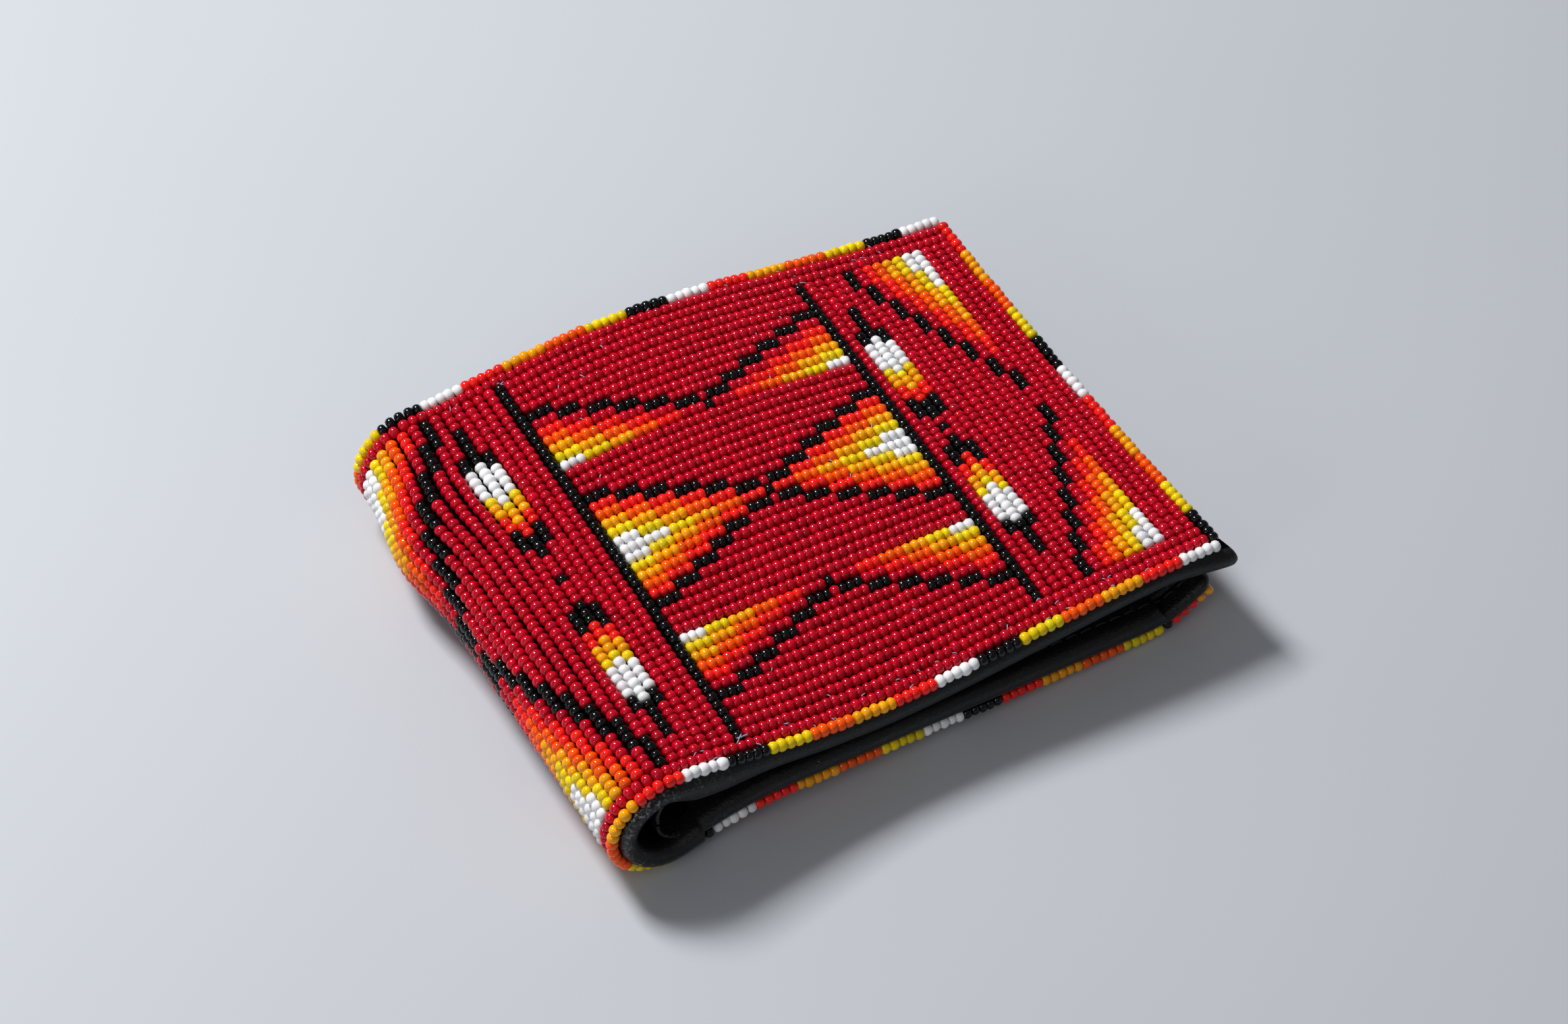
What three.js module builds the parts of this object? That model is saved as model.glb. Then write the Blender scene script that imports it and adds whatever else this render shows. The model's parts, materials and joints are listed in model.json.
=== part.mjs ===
// Bifold wallet lying closed: two leather covers with card pockets, folded round a full loop at -X,
// covered outside with strings of seed beads and finished with a bead edging.
// Millimetres, +Z up, free edges at +X, pocket mouths towards +Y.
// Every piece is laid out flat (s along the cover from the fold line, y across it, h above the leather)
// and then bent along the path of its cover.
import * as THREE from 'three';

// Bead strings
const BEAD_HEIGHT = 2.0;     // crest of a string above the leather
const VALLEY = 1.0;          // dip between two strings, above the leather
const CREST_SHARE = 0.45;    // centre rows: flat crest's share of the pitch
const SEAT = 0.35;           // clearance under the beads
const PANEL_GAP = 0.25;      // clearance between neighbouring bead panels
const ROW_PITCH = 2.0;       // centre panel: from row to row
const ROW_COUNT = 41;
const BEAD_PITCH = 1.5;      // along a centre row
const ROW_BEADS = 37;
const FOLD_PITCH = 2.0;      // strings laid over the fold
const FOLD_STRINGS = 14;     // from the fold line to the inner bar
const FREE_PITCH = 2.0;      // strings beside the free edge
const FREE_STRINGS = { front: 15, back: 15 };
const EDGE_PITCH = 1.57;     // beads along the edging
const EDGE_BEAD = 1.55;      // their thickness
const EDGE_CORNER = 1.3;     // bend of the edging at a free corner
const EDGE_WAIST = 1.05;     // and the edging's thickness between two beads

// Leather
const SHELL = 1.6;           // outer cover
const LAYER_GAP = 0.25;      // clearance between leather layers
const WALL = 0.6;            // wall of the bill compartment
const LEAF = 0.5;            // card-pocket leaf
const MARGIN = 1.1;          // leather beyond the edging's middle
const CORNER_R = 2.5;        // corners of the covers
const EAR = 1.6;             // front cover's near free corner, pulled out past the beads
const EAR_RUN = 12;
const BILL_STEP = 5;         // bill wall below the cover's far edge
const POCKET_INSET = 0.8;    // pockets inside the cover's edges
const UPPER_MOUTH = 24;      // pocket mouths, from the cover's middle line
const LOWER_MOUTH = 9;
const NOTCH_DEPTH = 6;       // thumb notch in the lower pocket
const NOTCH_HALF = 10;

// Fold and lie of the covers
const LOOP_R = 9.0;          // leather's outside radius round the fold
const FRONT_FALL = THREE.MathUtils.degToRad(3.3);
const BACK_RISE = THREE.MathUtils.degToRad(20);   // the loop runs on past its lowest line
const BACK_BEND_R = 50;
const BACK_FALL = THREE.MathUtils.degToRad(2.6);
const LIP_RUN = 13.6;        // the back's free end curls up towards the front
const LIP_TURN = THREE.MathUtils.degToRad(34);
const FOLD_GAP = 0.3;        // between the two covers at the fold line
const CURL_R = 5.6;          // bill walls curl towards each other inside the loop
const CURL_START = { front: 22, back: 24 };
const POCKET_START = 36;     // pockets stop short of the fold
const NEAR_DIP = 4.6;        // set of the front cover, at mid-length
const MID_RISE = 2.6;
const FAR_RISE = 5.0;
const SET_SKEW = 0.75;       // below 1, the set is deepest nearer the fold
const CORNER_LIFT = 2.8;     // near free corner stands off
const TURN_STEP = 0.24;      // longest turn in one step of a bent piece

const INNER_BAR = (FOLD_STRINGS + 0.5) * FOLD_PITCH;
const CENTRE_START = (FOLD_STRINGS + 1) * FOLD_PITCH;
const CENTRE_END = CENTRE_START + ROW_BEADS * BEAD_PITCH;
const FREE_START = CENTRE_END + FREE_PITCH;
const ROWS_HALF = (ROW_COUNT / 2) * ROW_PITCH;
const BORDER_Y = ROWS_HALF + ROW_PITCH / 2;
const EDGE_Y = ROWS_HALF + 1.5 * ROW_PITCH;
const COVER_Y = EDGE_Y + MARGIN;
const freeEnd = (name) => FREE_START + FREE_STRINGS[name] * FREE_PITCH;
const edgeLine = (name) => freeEnd(name) + FREE_PITCH / 2;
const coverEnd = (name) => edgeLine(name) + MARGIN;

const RED = new THREE.MeshStandardMaterial({ color: 0x960a1c, roughness: 0.2, metalness: 0 });
const BLACK = new THREE.MeshStandardMaterial({ color: 0x0e0c0e, roughness: 0.2, metalness: 0 });
const AMBER = new THREE.MeshStandardMaterial({ color: 0xe4960a, roughness: 0.2, metalness: 0 });
const LEATHER = new THREE.MeshStandardMaterial({ color: 0x161415, roughness: 0.5, metalness: 0 });

// A cover's line seen from the near edge: runs of [length, turn], straight or arc, starting at the fold.
// side is 1 where the outside lies to the left of the heading, -1 where it lies to the right.
class CoverPath {
  constructor(x, z, heading, side, runs) {
    Object.assign(this, { x, z, heading, side, runs });
  }

  at(s) {
    let { x, z, heading } = this;
    let left = s;
    for (const [length, turn] of this.runs) {
      const part = Math.min(left, length);
      const bend = (turn * part) / length;
      if (turn === 0) {
        x += part * Math.cos(heading);
        z += part * Math.sin(heading);
      } else {
        const radius = length / turn;
        x += radius * (Math.sin(heading + bend) - Math.sin(heading));
        z -= radius * (Math.cos(heading + bend) - Math.cos(heading));
      }
      heading += bend;
      left -= part;
    }
    return { x, z, heading, nx: -this.side * Math.sin(heading), nz: this.side * Math.cos(heading) };
  }

  // Steps from s0 to s1: every end of a run, short steps round the arcs, steps of a set length on the straights.
  // datum is where those are counted from, so that pieces one over the other step together.
  stations(s0, s1, step, datum, extra = []) {
    const marks = [s0, s1, ...extra];
    let from = 0;
    for (const [length, turn] of this.runs) {
      const to = Math.min(from + length, s1);
      marks.push(from);
      if (turn === 0) {
        for (let s = datum + Math.ceil((from - datum) / step) * step; s < to; s += step) marks.push(s);
      } else {
        const count = Math.ceil(Math.abs(turn) / TURN_STEP);
        for (let i = 1; i < count; i += 1) marks.push(from + (length * i) / count);
      }
      from += length;
    }
    return marks
      .filter((s) => s >= s0 && s <= s1)
      .sort((a, b) => a - b)
      .filter((s, i, all) => s === s1 || (s1 - s > 0.3 && (i === 0 || s - all[i - 1] > 0.05)));
  }
}

const LONG = 1000; // the last run goes on straight
const quarter = Math.PI / 2;
const frontPath = new CoverPath(-LOOP_R, 0, quarter, 1, [
  [LOOP_R * (quarter + FRONT_FALL), -(quarter + FRONT_FALL)],
  [LONG, 0],
]);
const backLoop = LOOP_R * (quarter + BACK_RISE);
const backBend = BACK_BEND_R * (BACK_RISE + BACK_FALL);
const backPath = new CoverPath(-LOOP_R, 0, -quarter, -1, [
  [backLoop, quarter + BACK_RISE],
  [backBend, -(BACK_RISE + BACK_FALL)],
  [coverEnd('back') - LIP_RUN - backLoop - backBend, 0],
  [LIP_RUN, LIP_TURN],
  [LONG, 0],
]);

// The front cover has taken a set: its near edge dips on to the back, the rest arches, one corner lifts.
const frontReach = frontPath.at(coverEnd('front')).x;
function frontSet(point) {
  const u = THREE.MathUtils.clamp(point.x / frontReach, 0, 1);
  const v = point.y / EDGE_Y;
  const swell = Math.sin(Math.PI * u ** SET_SKEW) ** 2;
  const curve = MID_RISE + ((FAR_RISE + NEAR_DIP) / 2) * v + ((FAR_RISE - NEAR_DIP) / 2 - MID_RISE) * v * v;
  point.z += swell * curve + (CORNER_LIFT * THREE.MathUtils.smoothstep(u, 0, 1) * (v * v - v)) / 2;
}

// The bill wall leaves its cover at CURL_START and curls in until it meets the other cover's, level with the fold line.
function curledPath(path, name) {
  const lift = SHELL + LAYER_GAP;
  const q = path.at(CURL_START[name]);
  const cx = q.x - q.nx * (lift + CURL_R);
  const cz = q.z - q.nz * (lift + CURL_R);
  const endHeading = path.side * Math.acos(THREE.MathUtils.clamp((FOLD_GAP - path.side * cz) / CURL_R, -1, 1));
  const turn = Math.abs(endHeading - q.heading);
  const start = [
    cx - path.side * Math.sin(endHeading) * CURL_R,
    cz + path.side * Math.cos(endHeading) * CURL_R,
  ];
  const curl = CURL_R * turn;
  const rest = [];
  let before = CURL_START[name];
  for (const [length, bend] of path.runs) {
    const keep = length - Math.min(before, length);
    if (keep > 0) {
      const inner = bend === 0 ? keep : keep + (path.side * lift * bend * keep) / length;
      rest.push([inner, (bend * keep) / length]);
    }
    before -= Math.min(before, length);
  }
  return { path: new CoverPath(...start, endHeading, path.side, [[curl, -path.side * turn], ...rest]), curl };
}

function bend(geometry, half, path, flat) {
  const at = geometry.attributes.position;
  const point = new THREE.Vector3();
  for (let i = 0; i < at.count; i += 1) {
    const { s, y, h } = flat(point.fromBufferAttribute(at, i));
    const line = path.at(s);
    point.set(line.x + line.nx * h, y, line.z + line.nz * h);
    half.set?.(point);
    at.setXYZ(i, point.x, point.y, point.z);
  }
  if (half.path.side < 0) {
    const index = geometry.index ? geometry.index.array : Array.from({ length: at.count }, (_, i) => i);
    for (let i = 0; i < index.length; i += 3) [index[i], index[i + 1]] = [index[i + 1], index[i]];
    geometry.setIndex(Array.from(index));
  }
  geometry.clearGroups();
  geometry.computeVertexNormals();
  return geometry;
}

// A closed layer over a grid of stations and lines across them, both faces cut along the same diagonals.
function layer(stations, lines, flat) {
  const ny = lines;
  const ns = stations.length;
  const points = [];
  for (const face of [1, 0]) {
    for (let i = 0; i < ns; i += 1) for (let j = 0; j < ny; j += 1) points.push(...flat(i, j, face));
  }
  const top = (i, j) => i * ny + j;
  const low = (i, j) => (ns + i) * ny + j;
  const index = [];
  const quad = (a, b, c, d) => index.push(a, b, c, a, c, d);
  for (let i = 0; i + 1 < ns; i += 1) {
    for (let j = 0; j + 1 < ny; j += 1) {
      quad(top(i, j), top(i + 1, j), top(i + 1, j + 1), top(i, j + 1));
      index.push(low(i, j), low(i + 1, j + 1), low(i + 1, j), low(i, j), low(i, j + 1), low(i + 1, j + 1));
    }
    quad(low(i, 0), low(i + 1, 0), top(i + 1, 0), top(i, 0));
    quad(top(i, ny - 1), top(i + 1, ny - 1), low(i + 1, ny - 1), low(i, ny - 1));
  }
  for (let j = 0; j + 1 < ny; j += 1) {
    quad(low(0, j + 1), low(0, j), top(0, j), top(0, j + 1));
    quad(low(ns - 1, j), low(ns - 1, j + 1), top(ns - 1, j + 1), top(ns - 1, j));
  }
  const geometry = new THREE.BufferGeometry();
  geometry.setAttribute('position', new THREE.Float32BufferAttribute(points, 3));
  geometry.setIndex(index);
  return geometry;
}

// A piece between two edges y0(s) and y1(s), bent at the half's lines across, or with a shape of its own across.
function slab(half, { stations, y0, y1, low, top, across, path = half.path }) {
  const widest = Math.max(...stations.map(y0));
  const narrowest = Math.min(...stations.map(y1));
  const inner = half.lines.filter((y) => y > widest + 1 && y < narrowest - 1);
  const rows = across ? across.length : inner.length + 2;
  const yAt = (s, j) => {
    if (across) return THREE.MathUtils.lerp(y0(s), y1(s), across[j]);
    if (j === 0) return y0(s);
    return j === rows - 1 ? y1(s) : inner[j - 1];
  };
  const flat = layer(stations, rows, (i, j, face) => [stations[i], yAt(stations[i], j), face ? top(i, j) : low]);
  return bend(flat, half, path, (p) => ({ s: p.x, y: p.y, h: p.z }));
}

// Strings side by side across the cover, from s0 on.
function strings(half, s0, count, pitch, halfWidth) {
  const stations = [];
  const heights = [];
  for (let k = 0; k < count; k += 1) {
    stations.push(s0 + k * pitch + (k === 0 ? PANEL_GAP / 2 : 0), s0 + (k + 0.5) * pitch);
    heights.push(VALLEY, BEAD_HEIGHT);
  }
  stations.push(s0 + count * pitch - PANEL_GAP / 2);
  heights.push(VALLEY);
  const edge = halfWidth - PANEL_GAP / 2;
  return slab(half, { stations, y0: () => -edge, y1: () => edge, low: SEAT, top: (i) => heights[i] });
}

// One string along the cover, at y.
function lengthwise(half, s0, s1, y) {
  const edge = (ROW_PITCH - PANEL_GAP) / 2;
  return slab(half, {
    stations: half.path.stations(s0, s1, half.step, 0),
    y0: () => y - edge,
    y1: () => y + edge,
    low: SEAT,
    across: [0, 0.5, 1],
    top: (i, j) => (j === 1 ? BEAD_HEIGHT : VALLEY),
  });
}

// The centre panel's rows, one ribbed section swept along the cover.
function centreRows(half) {
  const edge = ROWS_HALF - PANEL_GAP / 2;
  const crest = (CREST_SHARE * ROW_PITCH) / 2;
  const section = new THREE.Shape();
  section.moveTo(-edge, VALLEY);
  for (const y of [-edge, ...half.lines, edge]) section.lineTo(y, SEAT);
  section.lineTo(edge, VALLEY);
  for (let row = ROW_COUNT - 1; row >= 0; row -= 1) {
    const y = (row + 0.5) * ROW_PITCH - ROWS_HALF;
    section.lineTo(y + crest, BEAD_HEIGHT);
    section.lineTo(y - crest, BEAD_HEIGHT);
    if (row > 0) section.lineTo(y - ROW_PITCH / 2, VALLEY);
  }
  section.closePath();
  const depth = CENTRE_END - CENTRE_START - PANEL_GAP;
  const rows = new THREE.ExtrudeGeometry(section, { depth, steps: half.steps, bevelEnabled: false });
  return bend(rows, half, half.path, (p) => ({ s: CENTRE_START + PANEL_GAP / 2 + p.z, y: p.x, h: p.y }));
}

// The edging: one string of beads along the near edge, round the free corners and back along the far edge.
function edging(half) {
  const reach = edgeLine(half.name) - EDGE_CORNER - FOLD_GAP / 2;
  const free = 2 * (EDGE_Y - EDGE_CORNER);
  const arc = quarter * EDGE_CORNER;
  const length = 2 * reach + 2 * arc + free;
  const beads = Math.round(length / EDGE_PITCH);
  const bead = EDGE_BEAD / 2;
  const s1 = FOLD_GAP / 2 + reach;
  const y1 = free / 2;
  function route(t) {
    if (t < reach) return [FOLD_GAP / 2 + t, -EDGE_Y, 0];
    if (t < reach + arc) {
      const turn = (t - reach) / EDGE_CORNER;
      return [s1 + EDGE_CORNER * Math.sin(turn), -y1 - EDGE_CORNER * Math.cos(turn), turn];
    }
    if (t < reach + arc + free) return [s1 + EDGE_CORNER, t - reach - arc - y1, quarter];
    if (t < reach + 2 * arc + free) {
      const turn = (t - reach - arc - free) / EDGE_CORNER;
      return [s1 + EDGE_CORNER * Math.cos(turn), y1 + EDGE_CORNER * Math.sin(turn), quarter + turn];
    }
    return [FOLD_GAP / 2 + length - t, EDGE_Y, Math.PI];
  }
  const tube = new THREE.CylinderGeometry(1, 1, 1, 4, 2 * beads);
  return bend(tube, half, half.path, (p) => {
    const ring = Math.round((p.y + 0.5) * 2 * beads);
    const radius = ring % 2 ? bead : EDGE_WAIST / 2;
    const [s, y, turn] = route((ring / (2 * beads)) * length);
    return {
      s: s + Math.sin(turn) * p.x * radius,
      y: y - Math.cos(turn) * p.x * radius,
      h: SEAT + bead + p.z * radius,
    };
  });
}

// Half the cover's width at s, with its corner rounded at the free end.
function cornered(s, end, halfWidth, radius) {
  const into = Math.max(0, s - (end - radius));
  return halfWidth - radius + Math.sqrt(Math.max(0, radius ** 2 - into ** 2));
}
const cornerMarks = (end, radius) => [1, 0.6, 0.3, 0.1].map((share) => end - share * radius);

function shell(half) {
  const end = coverEnd(half.name);
  const ear = (s) => half.ear * THREE.MathUtils.smoothstep(s, end - EAR_RUN, end);
  return slab(half, {
    stations: half.path.stations(FOLD_GAP / 2, end, half.step, 0, cornerMarks(end, CORNER_R)),
    y0: (s) => -cornered(s, end, COVER_Y, half.ear ? CORNER_R / 2 : CORNER_R) - ear(s),
    y1: (s) => cornered(s, end, COVER_Y, CORNER_R),
    low: -SHELL,
    top: () => 0,
  });
}

function billWall(half) {
  const { path, curl } = curledPath(half.path, half.name);
  const end = curl + coverEnd(half.name) - CURL_START[half.name] - POCKET_INSET;
  const edge = COVER_Y - POCKET_INSET;
  return slab(half, {
    path,
    stations: path.stations(0, end, half.step, curl - CURL_START[half.name], cornerMarks(end, CORNER_R)),
    y0: (s) => -cornered(s, end, edge, CORNER_R),
    y1: (s) => cornered(s, end, edge - BILL_STEP, CORNER_R),
    low: -WALL,
    top: () => 0,
  });
}

// A pocket leaf; depth counts from the bill wall inwards.
function cardLeaf(half, depth, mouth, notch) {
  const end = coverEnd(half.name) - POCKET_INSET;
  const edge = COVER_Y - POCKET_INSET;
  const top = -(SHELL + WALL + 2 * LAYER_GAP + depth * (LEAF + LAYER_GAP));
  const middle = (POCKET_START + end) / 2;
  const dip = (s) => Math.sqrt(Math.max(0, 1 - ((s - middle) / NOTCH_HALF) ** 2));
  const marks = [-1, -0.95, -0.75, -0.4, 0, 0.4, 0.75, 0.95, 1].map((share) => middle + share * NOTCH_HALF);
  return slab(half, {
    stations: half.path.stations(POCKET_START, end, half.step, 0, [...cornerMarks(end, CORNER_R), ...(notch ? marks : [])]),
    y0: (s) => -cornered(s, end, edge, CORNER_R),
    y1: (s) => mouth - notch * dip(s),
    low: top - LEAF,
    top: () => top,
  });
}

function bar(half, s0, pitch, halfWidth) {
  return strings(half, s0, 1, pitch, halfWidth);
}

const wallet = new THREE.Group();
wallet.name = 'beaded_bifold_wallet';

function add(name, geometry, material) {
  const mesh = new THREE.Mesh(geometry, material);
  mesh.name = name;
  wallet.add(mesh);
}

const halves = [
  { name: 'front', path: frontPath, set: frontSet, ear: EAR, step: 6, steps: 7, lines: [-20.5, 0, 20.5] },
  { name: 'back', path: backPath, ear: 0, step: 60, steps: 1, lines: [] },
];
for (const half of halves) {
  const { name } = half;
  const start = FOLD_GAP / 2;
  const end = freeEnd(name) - PANEL_GAP / 2;
  const rowEnd = ROWS_HALF - ROW_PITCH;
  const insideRow = ROWS_HALF - ROW_PITCH / 2;
  add(`${name}_shell`, shell(half), LEATHER);
  add(`${name}_bill_wall`, billWall(half), LEATHER);
  add(`${name}_card_leaf_upper`, cardLeaf(half, 0, UPPER_MOUTH, 0), LEATHER);
  add(`${name}_card_leaf_lower`, cardLeaf(half, 1, LOWER_MOUTH, NOTCH_DEPTH), LEATHER);
  add(`${name}_fold_strings`, strings(half, 0, FOLD_STRINGS, FOLD_PITCH, ROWS_HALF), RED);
  add(`${name}_inner_bar`, bar(half, INNER_BAR - FOLD_PITCH / 2, FOLD_PITCH, ROWS_HALF), BLACK);
  add(`${name}_centre_rows`, centreRows(half), RED);
  add(`${name}_outer_bar`, bar(half, CENTRE_END, FREE_PITCH, rowEnd), BLACK);
  add(`${name}_free_strings`, strings(half, FREE_START, FREE_STRINGS[name], FREE_PITCH, rowEnd), RED);
  add(`${name}_near_border`, lengthwise(half, start, end, -BORDER_Y), RED);
  add(`${name}_far_border`, lengthwise(half, start, end, BORDER_Y), RED);
  add(`${name}_near_short_row`, lengthwise(half, CENTRE_END + PANEL_GAP / 2, end, -insideRow), RED);
  add(`${name}_far_short_row`, lengthwise(half, CENTRE_END + PANEL_GAP / 2, end, insideRow), RED);
  add(`${name}_edging`, edging(half), AMBER);
}

// Set down on the table, centred over the origin.
const box = new THREE.Box3().setFromObject(wallet);
const middle = box.getCenter(new THREE.Vector3());
wallet.position.set(-middle.x, -middle.y, -box.min.z);

export default wallet;
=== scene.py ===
import json
import math

import bmesh
import bpy
import numpy as np
from mathutils import Matrix, Vector


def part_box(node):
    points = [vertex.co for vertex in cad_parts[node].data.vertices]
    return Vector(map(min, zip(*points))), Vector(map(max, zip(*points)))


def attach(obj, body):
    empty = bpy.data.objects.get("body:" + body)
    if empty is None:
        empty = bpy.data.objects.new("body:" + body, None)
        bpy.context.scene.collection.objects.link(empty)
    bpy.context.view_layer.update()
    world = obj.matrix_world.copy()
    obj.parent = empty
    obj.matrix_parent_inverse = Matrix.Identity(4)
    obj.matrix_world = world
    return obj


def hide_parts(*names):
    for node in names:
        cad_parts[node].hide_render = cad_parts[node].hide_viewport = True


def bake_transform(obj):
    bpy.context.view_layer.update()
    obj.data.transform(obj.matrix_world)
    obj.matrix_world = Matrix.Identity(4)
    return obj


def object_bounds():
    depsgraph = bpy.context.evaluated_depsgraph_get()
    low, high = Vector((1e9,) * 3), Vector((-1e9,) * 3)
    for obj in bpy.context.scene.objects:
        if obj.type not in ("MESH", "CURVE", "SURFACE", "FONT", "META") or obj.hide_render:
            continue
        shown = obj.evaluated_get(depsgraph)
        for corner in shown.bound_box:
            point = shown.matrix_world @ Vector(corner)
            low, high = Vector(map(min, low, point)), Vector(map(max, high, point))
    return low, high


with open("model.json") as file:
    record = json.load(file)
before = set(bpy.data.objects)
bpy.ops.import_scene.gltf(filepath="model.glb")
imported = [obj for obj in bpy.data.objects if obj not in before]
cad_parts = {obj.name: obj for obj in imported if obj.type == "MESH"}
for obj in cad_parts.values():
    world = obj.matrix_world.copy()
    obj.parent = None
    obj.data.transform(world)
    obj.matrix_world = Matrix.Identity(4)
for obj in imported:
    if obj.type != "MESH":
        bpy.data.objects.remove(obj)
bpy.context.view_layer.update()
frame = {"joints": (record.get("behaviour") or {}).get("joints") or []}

# Outer cover: one sheet of black leather folded round an open loop that swells towards its far
# end, its near and free edges turned in over the pockets. The front has warped, so its near edge
# sags while its far edge arches, and the back's free end curls up to it.
HALVES = (("front", 1), ("back", -1))
LOOP_R = 9.0
HINGE_TO_MIDDLE = 0.01115
FRONT_FALL = math.radians(3.3)
BACK_RISE = math.radians(20)
BACK_FALL = math.radians(2.6)
BACK_BEND_R = 50.0
NEAR_DIP, MID_RISE, FAR_RISE, CORNER_LIFT, SET_SKEW = 4.6, 2.6, 5.0, 2.8, 0.75
FOLD_SWELL, SWELL_Y, SWELL_HALF, SWELL_END = 2.0, 24.0, 9.3, 10.0
EDGE_Y = 44.0
COVER_Y = 45.1
COVER_END = 119.6
LIP_RUN, LIP_TURN, LIP_CORNER = 13.6, math.radians(34), 2.8
LIP_CREASE, CREASE_HALF = 109.2, 0.6
SHEET, HEM, LIP_HEM, LOOP_RIM = 1.6, 4.05, 2.6, 3.2
HEM_FLAT, HEM_CUT, HEM_FOOT, SHEET_FROM = 4.6, 5.1, 5.3, 6.0
EAR, EAR_OUT, EAR_RUN = 1.6, 3.6, 11.0
CORNER_R, EAR_R, TIP_R, TIP_LEAST = 2.5, 1.3, 1.4, 0.2
TIP_STEPS = (5, 4.2, 3.5, 2.8, 2.2, 1.6, 1.1, 0.7, 0.4, 0.2, 0.08, 0.0)
PLEAT_TIP, PLEAT_OUT, RIM_OUT, BUNCH = 21.0, 0.5, 0.7, 2.8
PLEAT_START = PLEAT_TIP - 0.8
PLEAT_RISE, RIM_FALL, HEM_GROWTH, BUNCH_RISE, BUNCH_FALL = (3, 13), (16, 32), (14, 34), (13, 20), (22, 36)
TIP_GROWTH, EAR_SIDE = (6, 3), (-30, -60)
QUARTER = LOOP_R * math.pi / 2
STRAIGHT_ON = 1000
back_loop = LOOP_R * (math.pi / 2 + BACK_RISE)
back_bend = BACK_BEND_R * (BACK_RISE + BACK_FALL)
COVER_RUNS = {
    1: [(LOOP_R * (math.pi / 2 + FRONT_FALL), -math.pi / 2 - FRONT_FALL), (STRAIGHT_ON, 0)],
    -1: [
        (back_loop, math.pi / 2 + BACK_RISE),
        (back_bend, -BACK_RISE - BACK_FALL),
        (COVER_END - LIP_RUN - back_loop - back_bend, 0),
        (LIP_RUN, LIP_TURN),
        (STRAIGHT_ON, 0),
    ],
}

hinge = frame["joints"][0]["pos_m"]
shell_low, shell_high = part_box("back_shell")
LOOP_MIDDLE = Vector((hinge[0] + HINGE_TO_MIDDLE, (shell_low.y + shell_high.y) / 2, hinge[2]))


def cover_line(s):
    """The leather's outside at s mm from the fold line, front positive, back negative: x, z and normal."""
    side = 1 if s >= 0 else -1
    x, z, heading, left = -LOOP_R, 0.0, side * math.pi / 2, abs(s)
    for length, turn in COVER_RUNS[side]:
        part = min(left, length)
        bend = turn * part / length
        if turn:
            x += length / turn * (math.sin(heading + bend) - math.sin(heading))
            z -= length / turn * (math.cos(heading + bend) - math.cos(heading))
        else:
            x, z = x + part * math.cos(heading), z + part * math.sin(heading)
        heading += bend
        left -= part
    return x, z, -side * math.sin(heading), side * math.cos(heading)


def smooth(low, high, value):
    t = min(max((value - low) / (high - low), 0.0), 1.0)
    return t * t * (3 - 2 * t)


FRONT_REACH = cover_line(COVER_END)[0]
LIP_START, LIP_REACH = (cover_line(-s)[0] for s in (COVER_END - LIP_RUN, COVER_END))


def settle(x, y, z, front):
    """A point in mm about the loop's middle, with the cover's warp, as a place in the frame."""
    v = y / EDGE_Y
    if front:
        u = min(max(x / FRONT_REACH, 0.0), 1.0)
        arch = math.sin(math.pi * u ** SET_SKEW) ** 2
        curve = MID_RISE + (FAR_RISE + NEAR_DIP) / 2 * v + ((FAR_RISE - NEAR_DIP) / 2 - MID_RISE) * v * v
        z += arch * curve + CORNER_LIFT * smooth(0, 1, u) * (v * v - v) / 2
    elif v < 0:
        z += LIP_CORNER * smooth(LIP_START, LIP_REACH, x) * v * v
    bulge = math.exp(-((y - SWELL_Y) / SWELL_HALF) ** 2)
    swell = FOLD_SWELL * bulge * (1 - smooth(-LOOP_R, SWELL_END, x))
    return LOOP_MIDDLE + Vector((x - swell, y, z)) / 1000


def on_cover(s, y, h):
    x, z, nx, nz = cover_line(s)
    return settle(x + nx * h, y, z + nz * h, s > 0)


class Wire:
    """A socket in a material, so that shader sums read as Python."""

    def __init__(self, tree, socket=None):
        self.tree, self.socket = tree, socket

    def node(self, kind, settings=None, out=0, **links):
        """One node of a kind: its settings, the output to use, and its sockets by name or as i0, i1."""
        made = self.tree.nodes.new(kind)
        for name, value in (settings or {}).items():
            setattr(made, name, value)
        for name, value in links.items():
            key = int(name[1:]) if name[0] == "i" and name[1:].isdigit() else name
            self.plug(made.inputs[key], value)
        return Wire(self.tree, made.outputs[out])

    def plug(self, socket, value):
        if isinstance(value, Wire):
            self.tree.links.new(value.socket, socket)
        else:
            socket.default_value = value

    def sum(self, operation, a, b):
        return self.node("ShaderNodeMath", {"operation": operation}, i0=a, i1=b)

    def __add__(self, other):
        return self.sum("ADD", self, other)

    __radd__ = __add__

    def __sub__(self, other):
        return self.sum("SUBTRACT", self, other)

    def __rsub__(self, other):
        return self.sum("SUBTRACT", other, self)

    def __mul__(self, other):
        return self.sum("MULTIPLY", self, other)

    __rmul__ = __mul__

    def ramp(self, low, high, kind="LINEAR"):
        """0 to 1 as the value goes from low to high."""
        return self.node("ShaderNodeMapRange", {"interpolation_type": kind}, Value=self, i1=low, i2=high)

    def mix(self, dark, light):
        return self.node("ShaderNodeMix", {"data_type": "RGBA"}, out=2, Factor=self, i6=dark, i7=light)

    def bump(self, strength, depth):
        return self.node("ShaderNodeBump", Strength=strength, Distance=depth, Height=self)


def linear(c):
    return ((c / 255 + 0.055) / 1.055) ** 2.4 if c > 10 else c / 255 / 12.92


def srgb(red, green, blue):
    return linear(red), linear(green), linear(blue), 1


def new_material(name, roughness):
    made = bpy.data.materials.new(name)
    made.use_nodes = True
    shader = made.node_tree.nodes["Principled BSDF"]
    shader.inputs["Roughness"].default_value = roughness
    return made, Wire(made.node_tree), shader.inputs


RIM_FADE_IN, RIM_FADE_OUT, BEND_FADE = (-0.0425, -0.0445), (-0.048, -0.0455), (0.008, 0.03)
DUST = srgb(150, 146, 140)


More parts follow.
